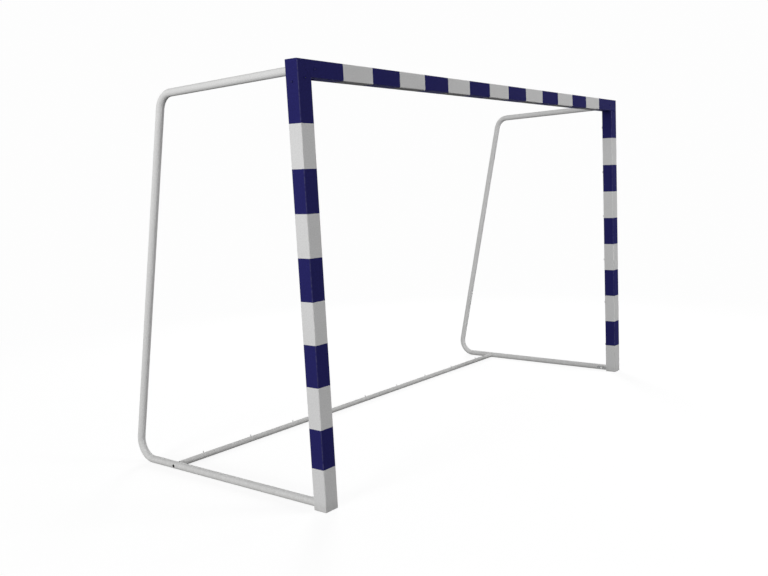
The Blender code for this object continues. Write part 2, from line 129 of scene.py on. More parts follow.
# Button-head screws
SCREW_HEAD = 0.014
SCREW_HEAD_HEIGHT = 0.0044
SCREW_HEAD_RIM = 0.0006
SCREW_FLAT_SHARE = 0.52
SCREW_DOME_STEPS = 8
SCREW_SOCKET = 0.005
SCREW_SOCKET_DEPTH = 0.0026
SOCKET_POINT_DEPTH = 0.0006
SOCKET_POINT_SHARE = 0.2
SCREW_SHANK = 0.0163
SCREW_DIAMETER = 0.008
THREAD_CHAMFER = 0.0008

# Hexagon bolts and washers
BOLT_ACROSS = 0.013
BOLT_HEAD_HEIGHT = 0.0053
BOLT_FACE = 0.92 * BOLT_ACROSS
BOLT_FACE_HEIGHT = 0.0003
BOLT_FACE_SLOPE = 0.0001
BOLT_CROWN_SHARE = 0.93
BOLT_CROWN_DROP = 0.0009
BOLT_CROWN_STEPS = 4
WASHER_EDGE = 0.0003

# Lugs
LUG_CORNER = 0.009
LUG_CORNER_STEPS = 8
LUG_EDGE = 0.0006

# Weld beads
WELD_SIZE = 0.0022
WELD_SEAT = 0.3 * WELD_SIZE
WELD_SPACING = 0.0012
WELD_SIDES = 12
WELD_RIPPLE = 0.10
POINTS_IN_RIPPLE = 4
WELD_END_SHARE = 0.35
WELD_TAPER_POINTS = 3

# Degrees between faces from which an edge is shaded sharp
SHARP_ANGLE = 35
SCREW_SHARP_ANGLE = 30
BOLT_SHARP_ANGLE = 25
WELD_SHARP_ANGLE = 50

SIDES = {"left": -1, "right": 1}

# Paint and metal colours
WHITE = (0.72, 0.72, 0.72, 1.0)
BLUE = (0.0210, 0.0202, 0.121, 1.0)
TUBE_WHITE = (0.745, 0.745, 0.74, 1.0)
GRIME = (0.22, 0.205, 0.18, 1.0)
PRIMER = (0.33, 0.33, 0.34, 1.0)
# Painted highlight along the corners of the square tubes, added together with the paint rubbed thin there
CORNER_SHEEN_AND_RUB = (0.080, 0.080, 0.066, 1.0)
ZINC = (0.50, 0.50, 0.49, 1.0)
DULL_ZINC = (0.22, 0.222, 0.225, 1.0)
STEEL = (0.35, 0.35, 0.36, 1.0)
BLACK_OXIDE = (0.05, 0.05, 0.052, 1.0)

# The coat: how far its shade swings on each colour, its gloss, and how it wears
WHITE_SPECKLE = 0.11
BLUE_SPECKLE = 0.32
SPECKLE_SHARE = 0.8
COAT_ROUGHNESS = 0.64
FRAME_SPECULAR = 0.018
TUBE_SPECULAR = 0.06
SCUFF_AMOUNT = 0.45
SCUFF_SINK = 0.6
GRIME_AMOUNT = 0.16
GRIME_ROUGHNESS = 0.2
GROUND_PULL = 0.55

# How far from a screw's axis its key has worn the paint, as a share of the socket's width, and how
# the bare metal looks there
KEY_WEAR_SHARE = 0.62
CHIP_METALLIC = 0.9
CHIP_POLISH = 0.12

# A noise stays within about 0.25 of its middle value, which the gain brings to about 1
NOISE_MIDDLE = 0.5
NOISE_GAIN = 4.0
UNEVEN_ROUGHNESS = 0.3

# Sockets of a Mix node that are told apart by number alone
MIX_FACTOR = 0
MIX_FIRST_COLOUR = 6
MIX_SECOND_COLOUR = 7
MIX_COLOUR_RESULT = 2


# Node helpers

def add_node(tree, kind, inputs=(), **settings):
    """Adds a node, sets its properties, and sets or links each (input, value or socket)."""
    made = tree.nodes.new(kind)
    for name, value in settings.items():
        setattr(made, name, value)
    for name, value in inputs:
        if isinstance(value, bpy.types.NodeSocket):
            tree.links.new(value, made.inputs[name])
        else:
            made.inputs[name].default_value = value
    return made


def maths(tree, operation, *values):
    return add_node(tree, "ShaderNodeMath", list(enumerate(values)), operation=operation).outputs[0]


def grey(tree, level):
    return add_node(tree, "ShaderNodeCombineColor", list(enumerate([level] * 3))).outputs[0]


def blend_colours(tree, factor, first, second, blend_type="MIX"):
    inputs = [(MIX_FACTOR, factor), (MIX_FIRST_COLOUR, first), (MIX_SECOND_COLOUR, second)]
    made = add_node(tree, "ShaderNodeMix", inputs, data_type="RGBA", blend_type=blend_type)
    return made.outputs[MIX_COLOUR_RESULT]


def ramp(tree, value, low, high, to_low=0.0, to_high=1.0):
    """Smoothly maps low..high to to_low..to_high."""
    inputs = [("Value", value), ("From Min", low), ("From Max", high)]
    inputs += [("To Min", to_low), ("To Max", to_high)]
    made = add_node(tree, "ShaderNodeMapRange", inputs, interpolation_type="SMOOTHSTEP")
    return made.outputs["Result"]


def noise(tree, place, scale, detail=2.0, roughness=0.5):
    inputs = [("Vector", place), ("Scale", scale), ("Detail", detail), ("Roughness", roughness)]
    return add_node(tree, "ShaderNodeTexNoise", inputs).outputs["Fac"]


def uneven(tree, value, swing):
    """A noise turned about zero and scaled."""
    return maths(tree, "MULTIPLY", maths(tree, "SUBTRACT", value, NOISE_MIDDLE), swing)


def new_group(name, inputs, outputs):
    """Makes a shader node group with named sockets, and returns it with its input sockets."""
    group = bpy.data.node_groups.new(name, "ShaderNodeTree")
    for label, kind, value in inputs:
        socket = group.interface.new_socket(label, in_out="INPUT", socket_type="NodeSocket" + kind)
        if value is not None:
            socket.default_value = value
    for label, kind in outputs:
        group.interface.new_socket(label, in_out="OUTPUT", socket_type="NodeSocket" + kind)
    return group, group.nodes.new("NodeGroupInput").outputs


def end_group(group, **results):
    made = group.nodes.new("NodeGroupOutput")
    for label, socket in results.items():
        group.links.new(socket, made.inputs[label.replace("_", " ")])
    return group


def use_group(tree, group, **inputs):
    named = [(label.replace("_", " "), value) for label, value in inputs.items()]
    return add_node(tree, "ShaderNodeGroup", named, node_tree=group).outputs


# Effects that several finishes share

def powder_coat_group():
    """The pebbled skin of baked powder: a height, a speckled shade and a roughness."""
    group, given = new_group(
        "powder coat",
        [("Place", "Vector", None), ("Speckle", "Float", 0.05), ("Roughness", "Float", 0.45)],
        [("Height", "Float"), ("Shade", "Color"), ("Roughness", "Float")],
    )
    pebbles = noise(group, given["Place"], scale=420.0)
    speckles = noise(group, given["Place"], scale=150.0, detail=3.0, roughness=0.6)
    clouds = noise(group, given["Place"], scale=5.0, detail=3.0)
    fine = maths(group, "MULTIPLY", speckles, SPECKLE_SHARE)
    broad = maths(group, "MULTIPLY", clouds, 1 - SPECKLE_SHARE)
    swing = uneven(group, maths(group, "ADD", fine, broad), given["Speckle"])
    level = maths(group, "ADD", maths(group, "MULTIPLY", swing, NOISE_GAIN), 1.0)
    rough = maths(group, "ADD", given["Roughness"], uneven(group, clouds, UNEVEN_ROUGHNESS))
    return end_group(group, Height=pebbles, Shade=grey(group, level), Roughness=rough)


def scuff_group():
    """Short scratches, drawn out along Z and gathered in rubbed patches."""
    group, given = new_group(
        "scuffs",
        [("Place", "Vector", None), ("Stretch", "Vector", (1.0, 1.0, 0.12)), ("Amount", "Float", 0.5)],
        [("Mask", "Float")],
    )
    stretched = add_node(
        group, "ShaderNodeVectorMath", [(0, given["Place"]), (1, given["Stretch"])], operation="MULTIPLY"
    ).outputs[0]
    scratches = noise(group, stretched, scale=260.0, detail=4.0, roughness=0.7)
    patches = noise(group, given["Place"], scale=9.0, detail=3.0)
    marked = maths(
        group, "MULTIPLY",
        ramp(group, scratches, low=0.66, high=0.74), ramp(group, patches, low=0.52, high=0.66),
    )
    return end_group(group, Mask=maths(group, "MULTIPLY", marked, given["Amount"]))


def ground_marks_group():
    """Grime and rub marks that thin out with height above the ground."""
    group, given = new_group(
        "ground marks",
        [("Place", "Vector", None), ("Height", "Float", 0.0), ("Reach", "Float", 0.07)],
        [("Mask", "Float")],
    )
    low_down = maths(group, "SUBTRACT", 1.0, maths(group, "DIVIDE", given["Height"], given["Reach"]))
    splashes = noise(group, given["Place"], scale=38.0, detail=6.0, roughness=0.65)
    depth = maths(group, "ADD", maths(group, "MULTIPLY", low_down, GROUND_PULL), splashes)
    return end_group(group, Mask=ramp(group, depth, low=0.62, high=1.07))


def corner_sheen_and_wear_group():
    """A mask along the four corners of a square tube, for a painted highlight and rubbed paint there, broken
    up as handling breaks it.
    """
    group, given = new_group(
        "corner sheen and rubbing",
        [("Place", "Vector", None), ("Half Width", "Float", 0.04), ("Width", "Float", 0.004)],
        [("Mask", "Float")],
    )
    parts = add_node(group, "ShaderNodeSeparateXYZ", [(0, given["Place"])]).outputs
    start = maths(group, "SUBTRACT", given["Half Width"], given["Width"])
    sides = []
    for part in (parts["X"], parts["Y"]):
        sides.append(ramp(group, maths(group, "ABSOLUTE", part), start, given["Half Width"]))
    handling = noise(group, given["Place"], scale=55.0, detail=4.0, roughness=0.6)
    broken = ramp(group, handling, low=0.30, high=0.62)
    return end_group(group, Mask=maths(group, "MULTIPLY", maths(group, "MULTIPLY", *sides), broken))


def painted_bands_group():
    """1 on a blue band and 0 on a white one, by the distance along the tube from its corner."""
    group, given = new_group(
        "painted bands",
        [("Distance", "Float", 0.0), ("Corner Band", "Float", CORNER_BAND), ("Band", "Float", BAND)],
        [("Mask", "Float")],
    )
    past_corner = maths(group, "SUBTRACT", given["Distance"], given["Corner Band"])
    count = maths(group, "FLOOR", maths(group, "DIVIDE", past_corner, given["Band"]))
    odd = maths(group, "FLOORED_MODULO", count, 2.0)
    in_corner = maths(group, "LESS_THAN", past_corner, 0.0)
    return end_group(group, Mask=maths(group, "MAXIMUM", odd, in_corner))


POWDER_COAT = powder_coat_group()
SCUFFS = scuff_group()
GROUND_MARKS = ground_marks_group()
CORNER_SHEEN_AND_WEAR = corner_sheen_and_wear_group()
PAINTED_BANDS = painted_bands_group()


# Finishes

def new_finish(name, metallic=0.0, specular=0.5):
    """A material with its Principled shader, and the place on the piece in the piece's own axes."""
    material = bpy.data.materials.new(name)
    material.use_nodes = True
    tree = material.node_tree
    shader = tree.nodes["Principled BSDF"]
    shader.inputs["Metallic"].default_value = metallic
    shader.inputs["Specular IOR Level"].default_value = specular
    place = tree.nodes.new("ShaderNodeTexCoord").outputs["Object"]
    return material, tree, shader, place


def world_height(tree):
    position = tree.nodes.new("ShaderNodeNewGeometry").outputs["Position"]
    return add_node(tree, "ShaderNodeSeparateXYZ", [(0, position)]).outputs["Z"]


def finish_surface(tree, shader, colour, roughness, height, strength, depth):
    tree.links.new(colour, shader.inputs["Base Color"])
    tree.links.new(roughness, shader.inputs["Roughness"])
    bump = add_node(
        tree, "ShaderNodeBump", [("Strength", strength), ("Distance", depth), ("Height", height)]
    )
    tree.links.new(bump.outputs["Normal"], shader.inputs["Normal"])


def coat(tree, shader, place, colour, speckle, sheen_and_wear=None):
    """Powder coat over a colour, with scuffs, ground marks and an optional mask of corners that get a painted
    highlight and rubbed paint.
    """
    skin = use_group(tree, POWDER_COAT, Place=place, Speckle=speckle, Roughness=COAT_ROUGHNESS)
    scuffs = use_group(tree, SCUFFS, Place=place, Amount=SCUFF_AMOUNT)["Mask"]
    marks = use_group(tree, GROUND_MARKS, Place=place, Height=world_height(tree))["Mask"]
    shaded = blend_colours(tree, 1.0, colour, skin["Shade"], "MULTIPLY")
    if sheen_and_wear is not None:
        # Painted highlight on the corners, together with their rubbed paint
        shaded = blend_colours(tree, sheen_and_wear, shaded, CORNER_SHEEN_AND_RUB, "ADD")
    scuffed = blend_colours(tree, scuffs, shaded, PRIMER)
    grimy = blend_colours(tree, maths(tree, "MULTIPLY", marks, GRIME_AMOUNT), scuffed, GRIME)
    rough = maths(tree, "ADD", skin["Roughness"], maths(tree, "MULTIPLY", marks, GRIME_ROUGHNESS))
    height = maths(tree, "SUBTRACT", skin["Height"], maths(tree, "MULTIPLY", scuffs, SCUFF_SINK))
    finish_surface(tree, shader, grimy, rough, height, strength=0.25, depth=0.0004)


def band_paint(name, distance_from_corner, foot_height=None):
    """Blue and white coat of the front frame. distance_from_corner turns the tube's own length
    coordinate into the distance from its corner, and nothing is blue below foot_height."""
    material, tree, shader, place = new_finish(name, specular=FRAME_SPECULAR)
    along = add_node(tree, "ShaderNodeSeparateXYZ", [(0, place)]).outputs["Z"]
    bands = use_group(tree, PAINTED_BANDS, Distance=distance_from_corner(tree, along))["Mask"]
    if foot_height is not None:
        bands = maths(tree, "MULTIPLY", bands, maths(tree, "GREATER_THAN", along, foot_height))
    colour = blend_colours(tree, bands, WHITE, BLUE)
    speckle = ramp(tree, bands, 0.0, 1.0, to_low=WHITE_SPECKLE, to_high=BLUE_SPECKLE)
    # The corners get a painted highlight as well as rubbed paint
    sheen_and_wear = use_group(tree, CORNER_SHEEN_AND_WEAR, Place=place, Half_Width=PROFILE / 2, Width=PROFILE_CORNER)
    coat(tree, shader, place, colour, speckle, sheen_and_wear["Mask"])
    return material


def plain_coat(name, colour):
    material, tree, shader, place = new_finish(name, specular=TUBE_SPECULAR)
    coat(tree, shader, place, colour, WHITE_SPECKLE)
    return material


def screw_paint():
    """Blue coat on a screw's head, with steel grey chips in the socket where its key has turned."""
    material, tree, shader, place = new_finish("screw paint", specular=FRAME_SPECULAR)
    parts = add_node(tree, "ShaderNodeSeparateXYZ", [(0, place)]).outputs
    across = add_node(tree, "ShaderNodeCombineXYZ", [(0, parts["X"]), (1, parts["Y"])]).outputs[0]
    radius = add_node(tree, "ShaderNodeVectorMath", [(0, across)], operation="LENGTH").outputs["Value"]
    near_socket = ramp(tree, radius, low=SCREW_SOCKET * KEY_WEAR_SHARE, high=SCREW_SOCKET / 2)
    chips = ramp(tree, noise(tree, place, scale=900.0, detail=4.0, roughness=0.7), low=0.50, high=0.58)
    bare = maths(tree, "MULTIPLY", near_socket, chips)
    skin = use_group(tree, POWDER_COAT, Place=place, Speckle=BLUE_SPECKLE, Roughness=COAT_ROUGHNESS)
    painted = blend_colours(tree, 1.0, BLUE, skin["Shade"], "MULTIPLY")
    tree.links.new(maths(tree, "MULTIPLY", bare, CHIP_METALLIC), shader.inputs["Metallic"])
    colour = blend_colours(tree, bare, painted, DULL_ZINC)
    rough = maths(tree, "SUBTRACT", skin["Roughness"], maths(tree, "MULTIPLY", bare, CHIP_POLISH))
    height = maths(tree, "SUBTRACT", skin["Height"], bare)
    finish_surface(tree, shader, colour, rough, height, strength=0.3, depth=0.0003)
    return material


def metal(name, colour, spangle_scale, spangle, roughness, grain_scale):
    """Plated or bare steel: crystal patches of slightly unlike grey under a fine grain."""
    material, tree, shader, place = new_finish(name, metallic=1.0)
    crystals = add_node(tree, "ShaderNodeTexVoronoi", [("Vector", place), ("Scale", spangle_scale)])
    patch = add_node(tree, "ShaderNodeSeparateColor", [(0, crystals.outputs["Color"])]).outputs[0]
    level = ramp(tree, patch, 0.0, 1.0, to_low=1.0 - spangle, to_high=1.0 + spangle)
    grain = noise(tree, place, grain_scale, detail=4.0, roughness=0.6)
    rough = maths(tree, "ADD", uneven(tree, grain, UNEVEN_ROUGHNESS), roughness)
    shaded = blend_colours(tree, 1.0, colour, grey(tree, level), "MULTIPLY")
    finish_surface(tree, shader, shaded, rough, grain, strength=0.2, depth=0.0001)
    return material


POST_PAINT = band_paint(
    "post paint", lambda tree, along: maths(tree, "SUBTRACT", TOP_Z, along), foot_height=FOOT_BAND
)
CROSSBAR_PAINT = band_paint(
    "crossbar paint", lambda tree, along: maths(tree, "SUBTRACT", OUTER_X, maths(tree, "ABSOLUTE", along))
)
WHITE_PAINT = plain_coat("white paint", WHITE)
TUBE_PAINT = plain_coat("tube paint", TUBE_WHITE)
SCREW_PAINT = screw_paint()
BRIGHT_ZINC = metal(
    "bright zinc plate", ZINC, spangle_scale=700.0, spangle=0.06, roughness=0.36, grain_scale=1500.0
)
DULL_ZINC_PLATE = metal(
    "dull zinc", DULL_ZINC, spangle_scale=260.0, spangle=0.18, roughness=0.56, grain_scale=700.0
)
BARE_STEEL = metal(
    "bare steel", STEEL, spangle_scale=400.0, spangle=0.10, roughness=0.50, grain_scale=900.0
)
OILED_BLACK = metal(
    "black oxide", BLACK_OXIDE, spangle_scale=500.0, spangle=0.12, roughness=0.46, grain_scale=1100.0
)


# Shape helpers

def add_object(name, data):
    made = bpy.data.objects.new(name, data)
    bpy.context.scene.collection.objects.link(made)
    return made


def skin_rings(builder, rings, closed=False):
    """Skins equal rings of points. Closed joins the last to the first, and otherwise both ends
    are filled."""
    loops = [[builder.verts.new(point) for point in ring] for ring in rings]
    pairs = list(zip(loops, loops[1:]))
    if closed:
        pairs.append((loops[-1], loops[0]))
    for near, far in pairs:
        count = len(near)
        for i in range(count):
            builder.faces.new((near[i], near[(i + 1) % count], far[(i + 1) % count], far[i]))
    if not closed:
        builder.faces.new(loops[0][::-1])
        builder.faces.new(loops[-1])


def new_mesh(name, builder, material, sharp=SHARP_ANGLE):
    bmesh.ops.recalc_face_normals(builder, faces=builder.faces)
    mesh = bpy.data.meshes.new(name)
    builder.to_mesh(mesh)
    builder.free()
    mesh.materials.append(material)
    mesh.shade_smooth()
    mesh.set_sharp_from_angle(angle=math.radians(sharp))
    return mesh


def mesh_of_rings(name, rings, material, closed=False, sharp=SHARP_ANGLE):
    builder = bmesh.new()
    skin_rings(builder, rings, closed)
    return new_mesh(name, builder, material, sharp)


def put(name, mesh, place=None, stands_for=()):
    """Places a mesh in the goal as a piece of its own, in the stead of the solids that it names."""
    piece = add_object(name, mesh)
    piece.matrix_world = place or Matrix.Identity(4)
    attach(piece, "root")
    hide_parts(*stands_for)
    return piece


def even_faces(piece):
    """Keeps flat faces flat in the shading beside their rounded corners."""
    modifier = piece.modifiers.new("even shading", "WEIGHTED_NORMAL")
    modifier.keep_sharp = True


def frame_at(point, direction):
    """Axes at a point, with +Z along a direction."""
    turn = Vector((0, 0, 1)).rotation_difference(Vector(direction)).to_matrix().to_4x4()
    return Matrix.Translation(point) @ turn


def turns(sides):
    return [2 * math.pi * i / sides for i in range(sides)]


def circle(radius, height, sides=ROUND):
    return [Vector((radius * math.cos(a), radius * math.sin(a), height)) for a in turns(sides)]


def hexagon(across_flats, height, limit=1.0, sides=ROUND):
    """A hexagon drawn with as many points as a round ring, cut off at a limiting radius."""
    part = math.pi / 3
    ring = []
    for angle in turns(sides):
        radius = min(across_flats / 2 / math.cos(angle % part - part / 2), limit)
        ring.append(Vector((radius * math.cos(angle), radius * math.sin(angle), height)))
    return ring


def rounded_square(size, corner, steps=CORNER_STEPS):
    """Outline of a square tube, anticlockwise, as (x, y) pairs."""
    reach = (size / 2 - corner) * math.sqrt(2)
    outline = []
    for quarter in range(4):
        turn = quarter * math.pi / 2
        centre_x = reach * math.cos(turn + math.pi / 4)
        centre_y = reach * math.sin(turn + math.pi / 4)
        for step in range(steps + 1):
            angle = turn + step * math.pi / 2 / steps
            outline.append((centre_x + corner * math.cos(angle), centre_y + corner * math.sin(angle)))
    return outline


def rounded_path(corners, bend_radius, steps):
    """Points, directions and how far round its bend each point is, from 0 to 1 and back to 0."""
    path = [(corners[0], (corners[1] - corners[0]).normalized(), 0.0)]
    for before, corner, after in zip(corners, corners[1:], corners[2:]):
        arriving = (corner - before).normalized()
        leaving = (after - corner).normalized()
        turn = arriving.angle(leaving)
        start = corner - arriving * bend_radius * math.tan(turn / 2)
        inward = (leaving - arriving * arriving.dot(leaving)).normalized()
        centre = start + inward * bend_radius
        for step in range(steps + 1):
            share = step / steps
            angle = turn * share
            direction = arriving * math.cos(angle) + inward * math.sin(angle)
            point = centre - inward * bend_radius * math.cos(angle) + arriving * bend_radius * math.sin(angle)
            path.append((point, direction, math.sin(math.pi * share)))
    path.append((corners[-1], (corners[-1] - corners[-2]).normalized(), 0.0))
    return path


def tube_rings(path, radius, sides, flattening=0.0):
    """Rings square to a path in a plane of constant X, flattened a little within the bends."""
    across = Vector((1, 0, 0))
    rings = []
    for point, direction, bent in path:
        up = across.cross(direction)
        tall = radius * (1 - flattening * bent)
        rings.append([point + radius * math.cos(a) * across + tall * math.sin(a) * up for a in turns(sides)])
    return rings


def bore_faces(mesh, ring_count, sides):
    """Gives bare steel to the bore of a tube whose outer rings come first and are as many."""
    mesh.materials.append(BARE_STEEL)
    for face in mesh.polygons[ring_count * sides:(2 * ring_count - 1) * sides]:
        face.material_index = 1


def cut_holes(mesh, holes):
    """Cuts round holes, each given as (start, end, diameter), and returns the new mesh."""
    builder = bmesh.new()
    for start, end, diameter in holes:
        reach = Vector(end) - Vector(start)
        place = frame_at(start, reach)
        rings = [circle(diameter / 2, height, HOLE_SIDES) for height in (0, reach.length)]
        skin_rings(builder, [[place @ point for point in ring] for ring in rings])
    bmesh.ops.recalc_face_normals(builder, faces=builder.faces)
    drill_mesh = bpy.data.meshes.new("drill")
    builder.to_mesh(drill_mesh)
    builder.free()
    drill = add_object("drill", drill_mesh)
    blank = add_object("blank", mesh)
    modifier = blank.modifiers.new("holes", "BOOLEAN")
    modifier.operation = "DIFFERENCE"
    modifier.solver = "EXACT"
    modifier.object = drill
    bpy.context.view_layer.update()
    drilled = bpy.data.meshes.new_from_object(blank.evaluated_get(bpy.context.evaluated_depsgraph_get()))
    drilled.name = mesh.name
    bpy.data.objects.remove(blank)
    bpy.data.objects.remove(drill)
    bpy.data.meshes.remove(drill_mesh)
    bpy.data.meshes.remove(mesh)
    drilled.shade_smooth()
    drilled.set_sharp_from_angle(angle=math.radians(SHARP_ANGLE))
    return drilled


def weld_bead(builder, points, size, closed=False):
    """A rippled bead along a line of points, tapered at its ends unless it is closed."""
    count = len(points)
    rings = []
    side = None
    for i, point in enumerate(points):
        before = points[i - 1] if closed or i > 0 else point
        after = points[(i + 1) % count] if closed or i < count - 1 else point
        direction = (after - before).normalized()
        if side is None:
            side = direction.orthogonal().normalized()
        else:
            side = (side - direction * side.dot(direction)).normalized()
        other = direction.cross(side)
        radius = size * (1 + WELD_RIPPLE * math.cos(2 * math.pi * i / POINTS_IN_RIPPLE))
        if not closed:
            from_end = min(i, count - 1 - i) / WELD_TAPER_POINTS
            radius *= min(1.0, WELD_END_SHARE + (1 - WELD_END_SHARE) * from_end)
        rings.append([point + radius * (math.cos(a) * side + math.sin(a) * other) for a in turns(WELD_SIDES)])
    skin_rings(builder, rings, closed)


# Front frame

def square_tube_mesh(name, start, end, start_slope, end_slope, material):
    """Square tube along Z with lightly chamfered sawn ends. A slope of 1 or -1 makes a mitre."""
    outer = rounded_square(PROFILE, PROFILE_CORNER)
    eased = rounded_square(PROFILE - 2 * SAWN_EDGE, PROFILE_CORNER - SAWN_EDGE)
    inner = rounded_square(PROFILE - 2 * PROFILE_WALL, PROFILE_CORNER - PROFILE_WALL)

    def ring(outline, height, slope):
        return [Vector((x, y, height + slope * x)) for x, y in outline]

    rings = [
        ring(eased, start, start_slope),
        ring(outer, start + SAWN_EDGE, start_slope),
        ring(outer, end - SAWN_EDGE, end_slope),
        ring(eased, end, end_slope),
        ring(inner, end, end_slope),
        ring(inner, start, start_slope),
    ]
    return mesh_of_rings(name, rings, material, closed=True)


def make_posts():
    for side, sign in SIDES.items():
        name = side + "_post"
        start = FOOT_THICKNESS + GAP
        end = CROSSBAR_Z - MITRE_GAP * math.sqrt(2)
        mesh = square_tube_mesh(name + "_profile", start, end, 0, sign, POST_PAINT)
        place = Matrix.Translation((sign * POST_X, FRONT_Y + PROFILE / 2, 0))
        even_faces(put(name + "_profile", mesh, place, [name]))


def make_crossbar():
    mesh = square_tube_mesh("crossbar_profile", -POST_X, POST_X, 1, -1, CROSSBAR_PAINT)
    place = frame_at((0, FRONT_Y + PROFILE / 2, CROSSBAR_Z), (1, 0, 0))
    even_faces(put("crossbar_profile", mesh, place, ["crossbar"]))


def make_foot_plates():
    outer = rounded_square(PROFILE, PROFILE_CORNER)
    eased = rounded_square(PROFILE - 2 * SAWN_EDGE, PROFILE_CORNER - SAWN_EDGE)
    levels = [(eased, 0), (outer, SAWN_EDGE), (outer, FOOT_THICKNESS - SAWN_EDGE), (eased, FOOT_THICKNESS)]
    rings = [[Vector((x, y, height)) for x, y in outline] for outline, height in levels]
    mesh = mesh_of_rings("foot_plate", rings, WHITE_PAINT)
    for side, sign in SIDES.items():
        place = Matrix.Translation((sign * POST_X, FRONT_Y + PROFILE / 2, 0))
        even_faces(put(side + "_foot_end_plate", mesh, place, [side + "_foot_plate"]))


# Net hooks

def net_hook_mesh(name, material):
    """Bent rod with a rounded tip and a ring of weld where it leaves the wall at Y = 0."""
    corners = [Vector((0, -HOOK_ROOT, 0)), Vector((0, HOOK_REACH, 0)), Vector((0, HOOK_REACH, HOOK_RISE))]
    path = rounded_path(corners, HOOK_BEND_RADIUS, HOOK_BEND_STEPS)
    radius = HOOK_ROD / 2
    tip, way, _ = path[-1]
    dome = radius * HOOK_TIP_DOME
    path[-1] = (tip - way * dome, way, 0.0)
    rings = tube_rings(path, radius, HOOK_SIDES)
    for step in range(1, HOOK_TIP_STEPS):
        angle = step * math.pi / 2 / HOOK_TIP_STEPS
        end = (tip - way * dome * (1 - math.sin(angle)), way, 0.0)
        rings += tube_rings([end], radius * math.cos(angle), HOOK_SIDES)
    builder = bmesh.new()
    skin_rings(builder, rings)
    reach = radius * HOOK_WELD_REACH
    bead = [
        Vector((math.cos(a) * reach, HOOK_WELD_PROUD, math.sin(a) * reach)) for a in turns(HOOK_WELD_STEPS)
    ]
    weld_bead(builder, bead, radius * HOOK_WELD_SIZE, closed=True)
    return new_mesh(name, builder, material, sharp=WELD_SHARP_ANGLE)


def make_hooks():
    frame_hook = net_hook_mesh("frame_hook", WHITE_PAINT)
    bar_hook = net_hook_mesh("bar_hook", TUBE_PAINT)
    for number in range(2 * HOOKS_EACH_SIDE + 1):
        x = HOOK_PITCH * (number - HOOKS_EACH_SIDE)
        label = str(number + 1)
        place = Matrix.Translation((x, BACK_Y, CROSSBAR_Z))
        put("crossbar_hook_" + label, frame_hook, place)
        place = Matrix.Translation((x, BAR_Y + BAR_DIAMETER / 2, BAR_Z))
        put("rear_bar_hook_" + label, bar_hook, place)
    for side, sign in SIDES.items():
        for number in range(POST_HOOKS):
            place = Matrix.Translation((sign * POST_X, BACK_Y, LOWEST_POST_HOOK + HOOK_PITCH * number))
            put(side + "_post_hook_" + str(number + 1), frame_hook, place)


# Side frames and rear bar

def side_tube_mesh(side):
    fall = math.atan2(TOP_RUN_FALL, TOP_DEPTH - PROFILE)
    top_z = TOP_Z - TOP_RUN_DROP
    top_start = PROFILE + GAP + TUBE_RADIUS * math.sin(fall)
    start_z = top_z - TOP_RUN_FALL * (top_start - PROFILE) / (TOP_DEPTH - PROFILE)
    corners = [
        Vector((0, FRONT_Y + top_start, start_z)),
        Vector((0, FRONT_Y + TOP_DEPTH, top_z - TOP_RUN_FALL)),
        Vector((0, FRONT_Y + BASE_DEPTH, TUBE_RADIUS)),
        Vector((0, FRONT_Y + PROFILE + GAP, TUBE_RADIUS)),
    ]
    path = rounded_path(corners, TUBE_BEND_RADIUS, TUBE_BEND_STEPS)
    outer = tube_rings(path, TUBE_RADIUS, TUBE_SIDES, BEND_FLATTENING)
    inner = tube_rings(path, TUBE_RADIUS - TUBE_WALL, TUBE_SIDES, BEND_FLATTENING)
    mesh = mesh_of_rings(side + "_bent_tube", outer + inner[::-1], TUBE_PAINT, closed=True)
    bore_faces(mesh, len(path), TUBE_SIDES)
    outward = Vector((SIDES[side], 0, 0))
    inner_wall = (-TUBE_DIAMETER, -TUBE_RADIUS / 2)
    outer_wall = (TUBE_RADIUS / 2, TUBE_DIAMETER)
    holes = []
    for level in ("upper", "lower"):
        low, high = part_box(side + "_" + level + "_rivet_nut")
        holes.append((Vector((0, (low.y + high.y) / 2, (low.z + high.z) / 2)), inner_wall, RIVET_NUT_HOLE))
    at_bar = Vector((0, BAR_Y, BAR_Z))
    holes += [(at_bar, inner_wall, SCREW_HOLE), (at_bar, outer_wall, KEY_HOLE)]
    return cut_holes(mesh, [
        (middle + outward * first, middle + outward * last, diameter)
        for middle, (first, last), diameter in holes
    ])


def make_side_frames():
    for side, sign in SIDES.items():
        place = Matrix.Translation((sign * POST_X, 0, 0))
        put(side + "_bent_tube", side_tube_mesh(side), place, [side + "_side_frame"])


def make_rear_bar():
    half = POST_X - TUBE_RADIUS - PLUG_FLANGE - 2 * GAP
    outer = BAR_DIAMETER / 2
    inner = outer - BAR_WALL
    rings = [
        circle(outer - SAWN_EDGE, -half, BAR_SIDES),
        circle(outer, SAWN_EDGE - half, BAR_SIDES),
        circle(outer, half - SAWN_EDGE, BAR_SIDES),
        circle(outer - SAWN_EDGE, half, BAR_SIDES),
        circle(inner, half, BAR_SIDES),
        circle(inner, -half, BAR_SIDES),
    ]
    mesh = mesh_of_rings("rear_bar_tube", rings, TUBE_PAINT, closed=True)
    put("rear_bar_tube", mesh, frame_at((0, BAR_Y, BAR_Z), (1, 0, 0)), ["rear_ground_bar"])


